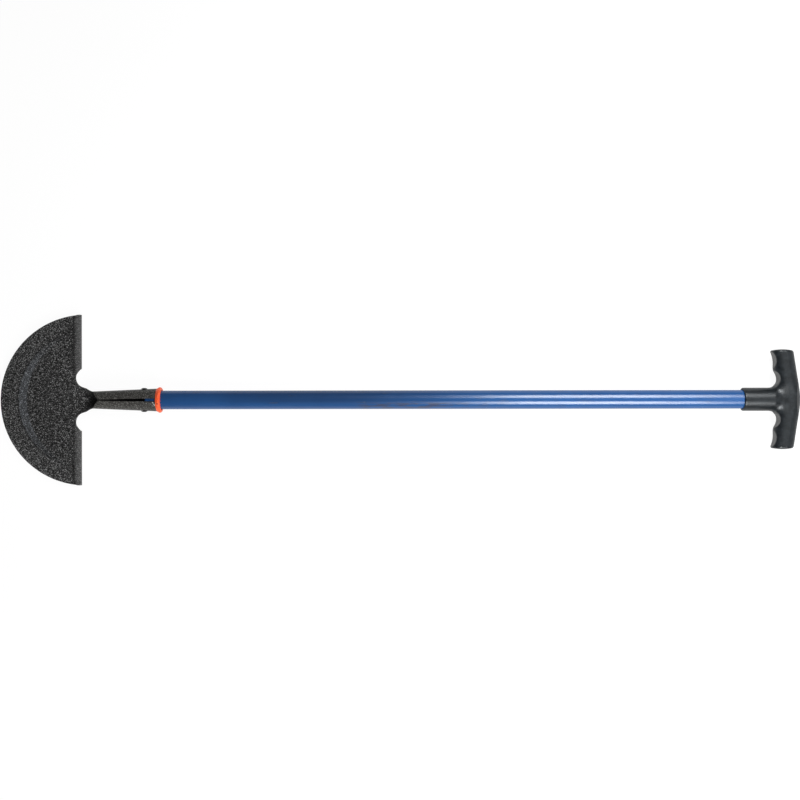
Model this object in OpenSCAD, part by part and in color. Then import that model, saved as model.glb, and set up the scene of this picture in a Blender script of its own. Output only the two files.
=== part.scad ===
// Half moon lawn edger: pressed steel head with a rolled socket, painted tube and moulded T grip.
// It lies as on a bench: +X runs from the blade to the grip, +Z is the face with the open seam.
// Heights are first measured from the tube's axis, lengths from the tip of the cutting edge.

/* [Blade] */
// Radius of the half moon cutting edge
blade_r = 104; // [85:1:125]
// From the tip of the cutting edge to the back of the treads
blade_depth = 97; // [85:0.5:104]
// Thickness of the steel sheet that the head is pressed from
sheet_t = 1.6; // [1.2:0.1:2.2]
// Width of the sharpened bevel, on the underside
bevel_w = 3; // [1.5:0.5:6]
// Thickness left at the sharpened edge
edge_t = 0.6; // [0.3:0.1:1]
// Radius at which the pressed step starts, from the centre of the half moon
step_r = 82; // [70:1:84]
// Width of the pressed step's slope on the centre line
step_w = 9.5; // [6:0.5:14]
// Depth of the pressed step on the centre line
step_depth = 2.2; // [1:0.1:3]

/* [Treads] */
// Outer radius of the bend that turns each tread down
tread_bend_r = 6; // [4:0.5:8]
// Straight lip below the bend
tread_lip = 1.5; // [0.5:0.5:6]
// How far each tread's outer end stands out past the half moon
tread_ear = 0.5; // [0.1:0.1:1.5]
// Radius of the relief notch between a tread and the neck
notch_r = 11.7; // [9:0.1:14]
// Flat sheet left between a tread's bend and its notch
notch_land = 0.7; // [0.3:0.1:3]
// Angle of a tread's inner end to the tool's axis
notch_flare = 60; // [45:1:75]

/* [Neck and socket] */
// Flat neck behind the treads
neck_flat = 1.5; // [0.5:0.5:6]
// Length over which the flat sheet rolls up into a half round
neck_l = 16.5; // [12:0.5:24]
// Outside diameter of the socket at the neck
neck_d = 20.8; // [19:0.1:22.4]
// Length of the socket from the neck to its mouth
socket_l = 78; // [60:1:110]
// Outside diameter of the socket at its mouth
mouth_d = 27.5; // [26.6:0.1:29]
// Angle of the wings' leading edges to the tool's axis
wing_angle = 50; // [40:1:65]
// Width of the open seam where the wings first meet
seam_neck = 1.2; // [0.6:0.1:2.4]
// Width of the open seam at the mouth
seam_mouth = 4; // [2.5:0.1:6]
// Corner clipped off each wing at the mouth
wing_clip = 1.6; // [0.5:0.1:3]

/* [Shaft tube] */
// Outside diameter of the tube, over its paint
shaft_d = 22.5; // [20:0.1:23]
// Wall of the tube
shaft_wall = 1.2; // [0.8:0.1:2]
// Bare tube between the collar and the grip
shaft_l = 701.6; // [400:0.2:1100]
// Length of tube inside the socket
socket_entry = 24; // [20:0.5:40]
// Width of the relief slots that let the tube's lower end close into the socket
slot_w = 5.2; // [3:0.1:7]
// Length of the relief slots
slot_l = 11.4; // [8:0.1:16]

/* [Collar] */
// Width of the plastic collar ring
collar_w = 5.4; // [4:0.1:10]
// Outside diameter of the collar's bead
collar_d = 31; // [30:0.5:36]
// Radius of the collar's bead
bead_r = 2.3; // [1.5:0.1:2.8]

/* [T grip] */
// Outside diameter of the grip's ferrule
ferrule_d = 28; // [26.5:0.5:32]
// Length of the ferrule's round barrel
ferrule_l = 36; // [28:1:38]
// From the ferrule's mouth to the crown of the palm
grip_depth = 70; // [66:1:84]
// Length of the crossbar from end to end
bar_l = 120.6; // [100:0.2:150]
// Width of the crossbar, from its finger side to its palm side
bar_w = 27; // [24:0.5:32]
// Thickness of the crossbar
bar_t = 22; // [18:0.5:24]
// Angle at which each arm sweeps back
bar_sweep = 8.8; // [4:0.1:14]
// Radius of the palm's crown between the arms
palm_r = 60; // [45:1:90]
// Distance of the inner finger scallops from the centre line
inner_y = 24.3; // [22:0.1:28]
// Radius of the inner finger scallops
inner_r = 11.2; // [8:0.1:13]
// Depth of the inner finger scallops
inner_depth = 4.1; // [2:0.1:6]
// Distance of the outer finger scallops from the centre line
outer_y = 45.5; // [43:0.1:48]
// Radius of the outer finger scallops
outer_r = 18; // [12:0.5:24]
// Depth of the outer finger scallops
outer_depth = 2.8; // [1:0.1:4]
// Bevel round the crossbar's ends
bar_ease = 3.2; // [0.5:0.1:4]
// Fillet at the ferrule's sides where it runs into the crossbar
root_fillet = 5; // [2:0.5:7]

/* [Fasteners] */
// From the socket's mouth to the rivets
rivet_setback = 16; // [10:0.5:17]
// Shank diameter of the blind rivets
rivet_d = 4.8; // [3.2:0.2:5]
// Head diameter of the blind rivets
rivet_head_d = 8.4; // [7:0.2:10]
// Head height of the blind rivets
rivet_head_h = 1.6; // [1:0.1:2]
// Diameter of the rivets' broken mandrels
mandrel_d = 2.6; // [1.6:0.1:2.8]
// From the ferrule's mouth to the grip's screw
screw_setback = 14; // [9:0.5:24]
// Shank diameter of the grip's screw
screw_d = 3.4; // [2.6:0.1:4.2]
// Head diameter of the grip's screw
screw_head_d = 7; // [5.6:0.1:8]
// Head height of the grip's screw
screw_head_h = 2.2; // [1.6:0.1:3]

/* [Clearances] */
// Radial room between the tube and what it is pushed into
tube_fit = 0.15; // [0.05:0.05:0.3]
// Radial room round the rivets, mandrels and screw
fastener_fit = 0.1; // [0.05:0.05:0.3]

/* [Hidden] */
$fn = 96;
eps = 0.5;
half_turn = 180;
quarter_turn = 90;

// Stations along the tool, from the tip of the cutting edge
bend_x = blade_depth - tread_bend_r;
neck_x = blade_depth + neck_flat;
socket_x = neck_x + neck_l;
mouth_x = socket_x + socket_l;
collar_x = mouth_x + collar_w;
grip_x = collar_x + shaft_l;
palm_x = grip_x + grip_depth;

// Heights of the flat sheet, whose underside runs on into the back of the socket
neck_r = neck_d / 2;
mouth_r = mouth_d / 2;
sheet_low = -neck_r;
sheet_top = sheet_low + sheet_t;
tread_low = sheet_top - tread_bend_r - tread_lip;
axis_z = max(-tread_low, collar_d / 2, ferrule_d / 2, bar_t / 2);

// The neck strip rolls into exactly half a round, which sets its width and the notches' place
roll_r = neck_r - sheet_t / 2;
neck_w = roll_r * PI / 2;
notch_x = bend_x + notch_land + notch_r;
notch_y = neck_w + notch_r;
roll_stations = 14;
roll_columns = 28;
roll_start = 1.5;
roll_finish = 2;
roll_lap = 0.06;

// Socket
socket_taper = (mouth_r - neck_r) / socket_l;
vee_x = socket_x + neck_r / tan(wing_angle);

// Tube, whose lower end closes down where the socket gets narrower than the tube
shaft_r = shaft_d / 2;
shaft_bore = shaft_r - shaft_wall;
tube_stop = 2;
low_x = mouth_x - socket_entry;
high_x = grip_x + ferrule_l - tube_stop;
low_r = min(shaft_r, socket_bore(low_x) - tube_fit);
wedge_x = max(low_x + eps, mouth_x - (socket_bore(mouth_x) - tube_fit - shaft_r) / socket_taper);
slot_x = low_x + slot_l;

// Grip
ferrule_r = ferrule_d / 2;
ferrule_edge_r = 1.2;
mouth_ease = 0.8;
arc_x = palm_x - palm_r;
bar_end_x = palm_x - palm_drop(bar_l / 2) - bar_w / 2;
root_x = grip_x + ferrule_l;
root_end_x = finger_x(0) + bar_t / 3;
flare_x = finger_x(ferrule_r + root_fillet) + inner_depth / 3;
flare_run = 1.5 * root_fillet;
flare_power = 2.5;
root_lap = 0.06;
root_dip = 0.4;
root_sink = 0.9;
root_stations = 16;
root_points = 64;

// Fasteners
rivet_x = mouth_x - rivet_setback;
rivet_seat = socket_outer(rivet_x) + fastener_fit;
rivet_hole_r = rivet_d / 2 + fastener_fit;
bulb_r = rivet_d * 0.7;
bulb_l = 4;
bulb_top = shaft_bore - fastener_fit;
bulb_shoulder = sqrt(pow(shaft_bore, 2) - pow(bulb_r, 2)) - 2 * fastener_fit;
bulb_end = bulb_shoulder - bulb_l;
mandrel_r = mandrel_d / 2;
mandrel_head_r = mandrel_d * 0.8;
mandrel_sink = 0.5;
screw_x = grip_x + screw_setback;
screw_seat = shaft_r + tube_fit + (ferrule_r - shaft_r) * 0.5;
screw_l = screw_seat - shaft_bore + 3;
screw_tip_l = 2;
screw_slot_w = 0.9;
screw_slot_l = 4.2;
screw_slot_h = 1.1;

// Outside and inside radius of the socket at a station
function socket_outer(x) = neck_r + (x - socket_x) * socket_taper;
function socket_bore(x) = socket_outer(x) - sheet_t;

// How far the palm's outline has fallen back from its crown at a distance from the centre line
function palm_drop(y) = y < palm_r * sin(bar_sweep)
    ? palm_r - sqrt(pow(palm_r, 2) - pow(y, 2))
    : palm_r * (1 - cos(bar_sweep)) + (y - palm_r * sin(bar_sweep)) * tan(bar_sweep);
// Station of an arm's finger side at a distance from the centre line
function finger_x(y) = palm_x - palm_drop(y) - bar_w / cos(bar_sweep);

// From lengths off the tip and heights off the axis to the part's own frame
module place() {
    translate([-palm_x / 2, 0, axis_z]) children();
}

// A profile of (radius, length) points turned round the tool's axis
module turn_on_axis() {
    rotate([0, quarter_turn, 0]) rotate_extrude() children();
}

// Blade

// Half moon, ground to a bevel under its cutting edge, up to where the treads bend down
module half_moon() {
    intersection() {
        translate([blade_r, 0, sheet_low]) rotate_extrude()
            polygon([
                [0, 0], [blade_r - bevel_w, 0], [blade_r, sheet_t - edge_t],
                [blade_r, sheet_t], [0, sheet_t]
            ]);
        translate([0, -blade_r, sheet_low - eps]) cube([bend_x, 2 * blade_r, sheet_t + 2 * eps]);
    }
}

// Flat strip that runs on between the treads to the neck
module neck_strip() {
    translate([bend_x - eps, -notch_y, sheet_low])
        cube([neck_x - bend_x + eps, 2 * notch_y, sheet_t]);
}

// One relief notch: a round, run out along the tread's inner end
module notch_plan() {
    far = 2 * notch_r;
    translate([notch_x, notch_y]) {
        circle(notch_r);
        rotate(notch_flare) translate([0, -notch_r]) square([far, 2 * notch_r]);
        square([far, far]);
    }
}

module both_notches() {
    tall = tread_bend_r + tread_lip + sheet_t;
    for (side = [0, 1]) {
        mirror([0, side, 0])
            translate([0, 0, tread_low - eps]) linear_extrude(tall) notch_plan();
    }
}

// Room between the pressed step's slope and its tilted floor, below the sheet's upper face
module step_room() {
    tilt = atan(step_depth / (bend_x - blade_r + step_r - step_w));
    slope = step_w / step_depth;
    rise = eps;
    intersection() {
        translate([blade_r, 0, sheet_top - step_depth])
            cylinder(h = step_depth + rise, r1 = step_r - step_w, r2 = step_r + rise * slope);
        translate([bend_x, 0, sheet_top]) rotate([0, -tilt, 0])
            translate([-2 * blade_r, -blade_r, 0]) cube([2 * blade_r, 2 * blade_r, step_depth + 4 * rise]);
    }
}

module blade_sheet() {
    difference() {
        union() {
            half_moon();
            neck_strip();
            translate([0, 0, -sheet_t]) step_room();
        }
        step_room();
        both_notches();
    }
}

// Treads

module tread_profile() {
    translate([bend_x, sheet_top - tread_bend_r]) {
        intersection() {
            difference() {
                circle(tread_bend_r);
                circle(tread_bend_r - sheet_t);
            }
            square(tread_bend_r);
        }
        translate([tread_bend_r - sheet_t, -tread_lip]) square([sheet_t, tread_lip]);
    }
}

module treads() {
    tall = tread_bend_r + tread_lip + 2 * eps;
    ear_r = blade_r + tread_ear;
    difference() {
        intersection() {
            for (side = [0, 1]) {
                mirror([0, side, 0])
                    translate([0, ear_r, 0]) rotate([quarter_turn, 0, 0])
                        linear_extrude(ear_r - notch_y) tread_profile();
            }
            translate([blade_r, 0, tread_low - eps]) cylinder(h = tall, r = ear_r);
        }
        both_notches();
    }
}

// Neck: the flat strip rolls up, its cross-section an arc whose curvature grows along the tool

function roll_curve(u) = (1 - pow(1 - pow(u, roll_start), roll_finish)) / roll_r;
function roll_half_w(x) = x < notch_x
    ? notch_y - sqrt(pow(notch_r, 2) - pow(x - notch_x, 2))
    : neck_w;
// A point of the sheet: s along the section's arc, lift off its middle surface, curvature k
function roll_point(x, s, lift, k) =
    let (turn = k * s * half_turn / PI)
    let (across = k > 0 ? sin(turn) / k : s)
    let (up = k > 0 ? (1 - cos(turn)) / k : 0)
    [x, across - lift * sin(turn), sheet_low + sheet_t / 2 + up + lift * cos(turn)];
// One closed section: the outer face from side to side, then the inner face back
function roll_section(x, k, half_w, half_t) = [
    for (j = [0 : roll_columns]) roll_point(x, half_w * (2 * j / roll_columns - 1), -half_t, k),
    for (j = [roll_columns : -1 : 0]) roll_point(x, half_w * (2 * j / roll_columns - 1), half_t, k)
];

// Side faces between sections that have the same number of points
function skin_faces(last, ring) = [
    for (i = [0 : last - 1], j = [0 : ring - 1])
        let (a = i * ring + j, b = i * ring + (j + 1) % ring)
        each [[a, b + ring, b], [a, a + ring, b + ring]]
];

module neck() {
    ring = 2 * (roll_columns + 1);
    last = roll_stations + 1;
    rolled = [
        for (i = [0 : roll_stations])
            let (u = i / roll_stations)
            let (x = neck_x + u * neck_l)
            let (lap = i == roll_stations ? roll_lap : 0)
            roll_section(x, roll_curve(u), roll_half_w(x), sheet_t / 2 + lap)
    ];
    // The last section laps over the socket's end, and a thinner tail reaches into its wall
    tail = roll_section(socket_x + sheet_t, 1 / roll_r, neck_w - sheet_t, sheet_t / 4);
    points = [for (section = concat(rolled, [tail])) each section];
    caps = [
        for (j = [0 : roll_columns - 1])
            let (far = last * ring, k = ring - 1 - j)
            each [
                [j, k - 1, k], [j, j + 1, k - 1],
                [far + j, far + k, far + k - 1], [far + j, far + k - 1, far + j + 1]
            ]
    ];
    polyhedron(points = points, faces = concat(skin_faces(last, ring), caps));
}

// Socket

// Plan of what is open on the seam side: the vee between the wings, the seam and its clipped corners
module seam_plan() {
    vee_back = vee_x - socket_x + eps;
    clip = seam_mouth / 2 + wing_clip;
    polygon([
        [vee_x, 0],
        [vee_x - vee_back, vee_back * tan(wing_angle)],
        [vee_x - vee_back, -vee_back * tan(wing_angle)]
    ]);
    polygon([
        [vee_x - seam_neck, -seam_neck / 2],
        [mouth_x + eps, -seam_mouth / 2],
        [mouth_x + eps, seam_mouth / 2],
        [vee_x - seam_neck, seam_neck / 2]
    ]);
    polygon([[mouth_x - wing_clip, 0], [mouth_x + eps, -clip - eps], [mouth_x + eps, clip + eps]]);
}

module socket() {
    difference() {
        turn_on_axis()
            polygon([
                [neck_r - sheet_t, socket_x], [neck_r, socket_x],
                [mouth_r, mouth_x], [mouth_r - sheet_t, mouth_x]
            ]);
        linear_extrude(mouth_r + eps) seam_plan();
        rivet_holes();
    }
}

module rivet_holes() {
    translate([rivet_x, 0, 0]) rotate([quarter_turn, 0, 0])
        cylinder(h = mouth_d + 2 * eps, r = rivet_hole_r, center = true);
}

module edger_head() {
    color("#3b3b3c") place() {
        blade_sheet();
        treads();
        neck();
        socket();
    }
}

// Shaft tube

module shaft_tube() {
    color("#2f5590") place() difference() {
        turn_on_axis()
            polygon([
                [low_r - shaft_wall, low_x], [low_r, low_x], [shaft_r, wedge_x], [shaft_r, high_x],
                [shaft_bore, high_x], [shaft_bore, wedge_x]
            ]);
        translate([0, 0, -shaft_d]) linear_extrude(2 * shaft_d) {
            translate([low_x - eps, -slot_w / 2]) square([slot_l - slot_w / 2 + eps, slot_w]);
            translate([slot_x - slot_w / 2, 0]) circle(slot_w / 2);
        }
        rivet_holes();
        translate([screw_x, 0, -shaft_d]) cylinder(h = shaft_d, r = screw_d / 2 + fastener_fit);
    }
}

// Collar

module collar_ring() {
    collar_bore = shaft_r + tube_fit;
    bead_x = collar_x - bead_r - tube_fit;
    sleeve_r = collar_d / 2 - bead_r / 2;
    color("#f0652f") place() turn_on_axis() difference() {
        union() {
            translate([0, mouth_x]) square([sleeve_r, collar_w - bead_r]);
            translate([0, mouth_x]) square([collar_d / 2 - bead_r, collar_w]);
            translate([collar_d / 2 - bead_r, bead_x]) circle(bead_r);
        }
        translate([-eps, mouth_x - eps]) square([collar_bore + eps, collar_w + 2 * eps]);
    }
}

// T grip

// Cross-section of the crossbar: two rounds joined by flats, its palm side at palm_r
module bar_section() {
    end_r = bar_t / 2;
    for (x = [palm_r - bar_w + end_r, palm_r - end_r]) {
        translate([x, 0]) circle(end_r);
    }
    translate([palm_r - bar_w + end_r, -end_r]) square([bar_w - bar_t, bar_t]);
}

module crossbar() {
    intersection() {
        translate([arc_x, 0, 0]) {
            rotate([0, 0, -bar_sweep]) rotate_extrude(angle = 2 * bar_sweep) bar_section();
            for (side = [0, 1]) {
                mirror([0, side, 0])
                    rotate([0, 0, bar_sweep]) mirror([0, 1, 0]) rotate([quarter_turn, 0, 0])
                        linear_extrude(bar_l / 2) bar_section();
            }
        }
        translate([bar_end_x, 0, 0]) sphere(bar_l / 2);
        translate([bar_end_x, 0, 0]) bar_ends();
    }
}

// What the crossbar's ends may fill: a cone each way along Y, which leaves a bevel round each end
module bar_ends() {
    tip = (bar_l + bar_w) / 2 - bar_ease;
    rotate([quarter_turn, 0, 0]) rotate_extrude() polygon([[0, -tip], [tip, 0], [0, tip]]);
}

module finger_scallops() {
    for (side = [-1, 1]) {
        translate([finger_x(inner_y) + inner_depth - inner_r, side * inner_y, -bar_t])
            cylinder(h = 2 * bar_t, r = inner_r);
        translate([finger_x(outer_y) + outer_depth - outer_r, side * outer_y, -bar_t])
            cylinder(h = 2 * bar_t, r = outer_r);
    }
}

// Ferrule: an eased mouth and a straight barrel
module ferrule() {
    turn_on_axis() {
        translate([0, grip_x + ferrule_edge_r]) square([ferrule_r, ferrule_l - ferrule_edge_r]);
        translate([0, grip_x]) square([ferrule_r - ferrule_edge_r, ferrule_edge_r]);
        intersection() {
            translate([ferrule_r - ferrule_edge_r, grip_x + ferrule_edge_r]) circle(ferrule_edge_r);
            translate([0, grip_x]) square([ferrule_r, ferrule_edge_r]);
        }
    }
}

// Root: the barrel's round section flattens and spreads until the crossbar takes it in

function ease(u) = u <= 0 ? 0 : u >= 1 ? 1 : u * u * (3 - 2 * u);
function root_half_w(x) =
    let (run = min(max(x - flare_x + flare_run, 0), flare_run))
    ferrule_r + root_fillet * pow(run / flare_run, flare_power);
function root_half_t(x) =
    ferrule_r + (root_sink * bar_t / 2 - ferrule_r) * ease((x - root_x) / (root_end_x - root_x));

module grip_root() {
    // The first section dips into the barrel, and the second laps over its end
    rings = [
        for (i = [-1 : root_stations])
            let (x = root_x + i * (root_end_x - root_x) / root_stations)
            let (lap = i < 0 ? -root_dip : i == 0 ? root_lap : 0)
            [
                for (j = [0 : root_points - 1])
                    let (turn = 2 * half_turn * j / root_points)
                    [x, (root_half_w(x) + lap) * cos(turn), (root_half_t(x) + lap) * sin(turn)]
            ]
    ];
    last = len(rings) - 1;
    near_cap = [for (j = [0 : root_points - 1]) j];
    far_cap = [for (j = [root_points - 1 : -1 : 0]) last * root_points + j];
    polyhedron(
        points = [for (ring = rings) each ring],
        faces = concat(skin_faces(last, root_points), [near_cap, far_cap])
    );
}

module t_grip() {
    bore_r = shaft_r + tube_fit;
    color("#3f4246") place() difference() {
        union() {
            difference() {
                crossbar();
                finger_scallops();
            }
            ferrule();
            grip_root();
        }
        turn_on_axis() {
            translate([0, grip_x - eps]) square([bore_r, high_x + tube_fit - grip_x + eps]);
            polygon([
                [0, grip_x - eps], [bore_r + mouth_ease + eps, grip_x - eps],
                [bore_r, grip_x + mouth_ease], [0, grip_x + mouth_ease]
            ]);
        }
        translate([screw_x, 0, -ferrule_d]) cylinder(h = ferrule_d, r = screw_d / 2 + fastener_fit);
        translate([screw_x, 0, -ferrule_d])
            cylinder(h = ferrule_d - screw_seat, r = screw_head_d / 2 + fastener_fit);
    }
}

// Fasteners

// Turns a profile of (radius, distance from the axis) points round each rivet's own line
module at_rivets() {
    for (side = [0, 1]) {
        mirror([0, side, 0])
            translate([rivet_x, 0, 0]) rotate([-quarter_turn, 0, 0]) rotate_extrude() children();
    }
}

// Dome of a fastener's head, standing on y = 0
module dome_profile(head_r, head_h) {
    dome_r = (pow(head_r, 2) + pow(head_h, 2)) / (2 * head_h);
    intersection() {
        translate([0, head_h - dome_r]) circle(dome_r);
        square([head_r, head_h]);
    }
}

module socket_rivets() {
    hole_r = mandrel_r + fastener_fit;
    color("#2c2c2d") place() at_rivets() difference() {
        union() {
            translate([0, rivet_seat]) dome_profile(rivet_head_d / 2, rivet_head_h);
            translate([0, bulb_end]) square([rivet_d / 2, rivet_seat - bulb_end]);
            polygon([
                [0, bulb_end], [bulb_r, bulb_end], [bulb_r, bulb_shoulder],
                [rivet_d / 2, bulb_top], [0, bulb_top]
            ]);
        }
        translate([0, bulb_end - eps]) square([hole_r, rivet_seat + rivet_head_h - bulb_end + 2 * eps]);
    }
}

module rivet_mandrels() {
    stem_top = rivet_seat + rivet_head_h - mandrel_sink;
    color("#8a8c8f") place() at_rivets() {
        translate([0, bulb_end - eps]) square([mandrel_r, stem_top - bulb_end + eps]);
        translate([0, bulb_end - mandrel_head_r]) square([mandrel_head_r, mandrel_head_r]);
    }
}

module grip_screw() {
    head_r = screw_head_d / 2;
    color("#b9bcc0") place() translate([screw_x, 0, -screw_seat]) mirror([0, 0, 1]) difference() {
        rotate_extrude() {
            dome_profile(head_r, screw_head_h);
            translate([0, -screw_l]) square([screw_d / 2, screw_l]);
            polygon([[0, -screw_l - screw_tip_l], [screw_d / 2, -screw_l], [0, -screw_l]]);
        }
        for (turn = [0, quarter_turn]) {
            rotate([0, 0, turn])
                translate([-screw_slot_l / 2, -screw_slot_w / 2, screw_head_h - screw_slot_h])
                    cube([screw_slot_l, screw_slot_w, screw_slot_h + eps]);
        }
    }
}

edger_head();
shaft_tube();
collar_ring();
t_grip();
socket_rivets();
rivet_mandrels();
grip_screw();
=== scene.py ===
"""Half moon lawn edger: finely shaped pieces and their finishes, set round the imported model.

Shapes are worked out in millimetres, with X from the tip of the cutting edge and Z from the tube's
axis. make_piece moves them into the model's own frame, in metres.
"""

import itertools
import math

import bpy
import numpy as np
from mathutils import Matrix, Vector
from mathutils.geometry import delaunay_2d_cdt


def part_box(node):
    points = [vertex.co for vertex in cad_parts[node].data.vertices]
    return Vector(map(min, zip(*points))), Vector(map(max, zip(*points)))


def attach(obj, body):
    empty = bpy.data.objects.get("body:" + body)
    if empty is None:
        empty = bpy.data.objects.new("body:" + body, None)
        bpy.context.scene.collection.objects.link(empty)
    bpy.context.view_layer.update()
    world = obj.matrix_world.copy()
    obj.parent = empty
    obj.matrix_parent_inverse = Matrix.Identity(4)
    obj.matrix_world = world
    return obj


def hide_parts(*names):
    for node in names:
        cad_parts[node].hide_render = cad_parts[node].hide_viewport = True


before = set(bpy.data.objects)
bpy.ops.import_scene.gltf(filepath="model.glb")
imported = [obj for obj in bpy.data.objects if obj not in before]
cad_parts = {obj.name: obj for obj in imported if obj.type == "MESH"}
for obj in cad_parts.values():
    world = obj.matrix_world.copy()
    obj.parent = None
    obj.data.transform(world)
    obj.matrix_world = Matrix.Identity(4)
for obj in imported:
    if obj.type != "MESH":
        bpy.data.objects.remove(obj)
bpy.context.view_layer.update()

MM = 0.001

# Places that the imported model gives
head_low, head_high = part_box("edger_head")
tube_low, tube_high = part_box("shaft_tube")
ring_low, ring_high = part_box("collar_ring")
grip_low, grip_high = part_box("t_grip")
screw_low, screw_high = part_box("grip_screw")
rivet_low, rivet_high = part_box("socket_rivets")
TIP = head_low.x
AXIS = (ring_low.z + ring_high.z) / 2


def station(x):
    """Distance along the tool from the tip, to a tenth of a millimetre."""
    return round((x - TIP) / MM, 1)


MOUTH_X = station(head_high.x)
COLLAR_X = station(ring_high.x)
TUBE_LOW_X = station(tube_low.x)
TUBE_HIGH_X = station(tube_high.x)
GRIP_X = station(grip_low.x)
PALM_X = station(grip_high.x)
RIVET_X = station((rivet_low.x + rivet_high.x) / 2)
SCREW_X = station((screw_low.x + screw_high.x) / 2)

# Head, pressed from one sheet
BLADE_R = 104
BLADE_DEPTH = 97
SHEET = 1.6
BEVEL_W = 3
EDGE_T = 0.6
STEP_R = 82
STEP_W = 9.5
STEP_DEPTH = 2.2
STEP_ROUND = 0.5
TREAD_BEND_R = 6
TREAD_LIP = 1.5
TREAD_EAR = 0.5
NOTCH_R = 11.7
NOTCH_LAND = 0.7
NOTCH_FLARE = math.radians(60)
NECK_FLAT = 1.5
NECK_L = 16.5
NECK_R = 10.4
MOUTH_R = 13.75
WING_ANGLE = math.radians(50)
SEAM_NECK = 1.2
SEAM_MOUTH = 4
WING_CLIP = 1.6
# Stroke of painted glint at the lower wing's mouth corner
MOUTH_GLINT = ((189.6, -2.2), (192.4, -7.6))
EDGE_ROUND = 0.3
EDGE_LOOPS = (0, EDGE_ROUND / 3, EDGE_ROUND, 2.6 * EDGE_ROUND)
BLANK_PITCH = 1.5
RIM_PITCH = 1.1

BEND_X = BLADE_DEPTH - TREAD_BEND_R
NECK_X = BLADE_DEPTH + NECK_FLAT
SOCKET_X = NECK_X + NECK_L
BEND_R = TREAD_BEND_R - SHEET / 2
TREAD_RUN = BEND_R * math.pi / 2 + TREAD_LIP
ROLL_R = NECK_R - SHEET / 2
NECK_W = ROLL_R * math.pi / 2
NOTCH_X = BEND_X + NOTCH_LAND + NOTCH_R
NOTCH_Y = NECK_W + NOTCH_R
SOCKET_TAPER = (MOUTH_R - NECK_R) / (MOUTH_X - SOCKET_X)
VEE_X = SOCKET_X + NECK_R / math.tan(WING_ANGLE)

# Tube
TUBE_R = 11.25
TUBE_WALL = 1.2
TUBE_FIT = 0.15
SLOT_W = 5.2
SLOT_L = 11.4
SLOT_X = TUBE_LOW_X + SLOT_L
TUBE_COLUMNS = 64
# Stretch of tube painted darker, partly as shade and partly as dulling by hands
HELD_SHADE_START = (215, 345)
HELD_SHADE_END = (640, 400)
SOIL_START = (425, 455)
SOIL_END = (640, 520)

# Collar
COLLAR_R = 15.5
COLLAR_W = COLLAR_X - MOUTH_X
BEAD_R = 2.3
COLLAR_EASE = 0.35
COLLAR_STEPS = 128

# Grip
FERRULE_R = 14
FERRULE_L = 36
BAR_L = 120.6
BAR_W = 27
BAR_T = 22
BAR_SWEEP = math.radians(8.8)
PALM_R = 60
INNER_SCALLOP = (24.3, 11.2, 4.1)
OUTER_SCALLOP = (45.5, 18, 2.8)
BAR_EASE = 2.4
SCALLOP_EASE = 1.1
ROOT_FILLET = 5
MOUTH_EASE = 1.2
SINK_EASE = 0.4
GRIP_CELL = 0.7

# Fasteners
RIVET_R = 2.4
RIVET_HEAD_R = 4.2
RIVET_HEAD_H = 1.6
RIVET_EASE = 0.15
RIVET_LIP = 0.3
LIP_DROP = 0.35
RIVET_STEPS = 64
BULB_R = 1.4 * RIVET_R
BULB_L = 4
BULB_ROUND = 0.9
STEM_R = 1.3
STEM_HEAD_R = 1.6 * STEM_R
STEM_HEAD_ROUND = 0.6
STEM_SINK = 0.5
STEM_POINT = 0.02
SCREW_HEAD_R = 3.5
SCREW_HEAD_H = 2.2
SCREW_EASE = 0.25
SCREW_SHANK_R = 1.7
SCREW_SHANK_L = 6
SHANK_IN_HEAD = 0.5
SCREW_SEAT = TUBE_R + TUBE_FIT + (FERRULE_R - TUBE_R) / 2
RECESS_HALF_W = 0.45
RECESS_R = 2.1
RECESS_LEAN = 0.7
RECESS_DEPTH = 1.1
RECESS_EASE = 0.12
SCREW_CELL = 0.17
FASTENER_FIT = 0.1

# Studio: metres, and strengths of light
FLOOR_HALF = 6.0
FLOOR_GLOW = 0.95
GLOW = 0.17
BACKDROP = 0.96
EYE_SHIFT = (0.0013, -0.0004)
EYE_HEIGHT = 1.344
EYE_ROLL = -math.radians(0.07)


def spread(start, end, pitch):
    """Values from start to end, both included, about pitch apart."""
    return np.linspace(start, end, max(2, round(abs(end - start) / pitch) + 1))


def make_piece(name, points, faces, node, material):
    """A smooth mesh from points in millimetres, which stands for one node of the model."""
    mesh = bpy.data.meshes.new(name)
    placed = np.asarray(points) * MM + (TIP, 0, AXIS)
    mesh.from_pydata(placed.tolist(), [], [list(map(int, face)) for face in faces])
    mesh.shade_smooth()
    mesh.materials.append(material)
    piece = bpy.data.objects.new(name, mesh)
    bpy.context.scene.collection.objects.link(piece)
    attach(piece, "root")
    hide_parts(node)
    return piece


# Shader nodes


class Wire:
    """An output of a node. Arithmetic on it adds Math nodes."""

    def __init__(self, finish, socket):
        self.finish = finish
        self.socket = socket

    def math(self, operation, first, second):
        return self.finish.add("Math", {"operation": operation}, {0: first, 1: second})

    def __add__(self, other):
        return self.math("ADD", self, other)

    def __sub__(self, other):
        return self.math("SUBTRACT", self, other)

    def __rsub__(self, other):
        return self.math("SUBTRACT", other, self)

    def __mul__(self, other):
        return self.math("MULTIPLY", self, other)

    __radd__ = __add__
    __rmul__ = __mul__


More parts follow.
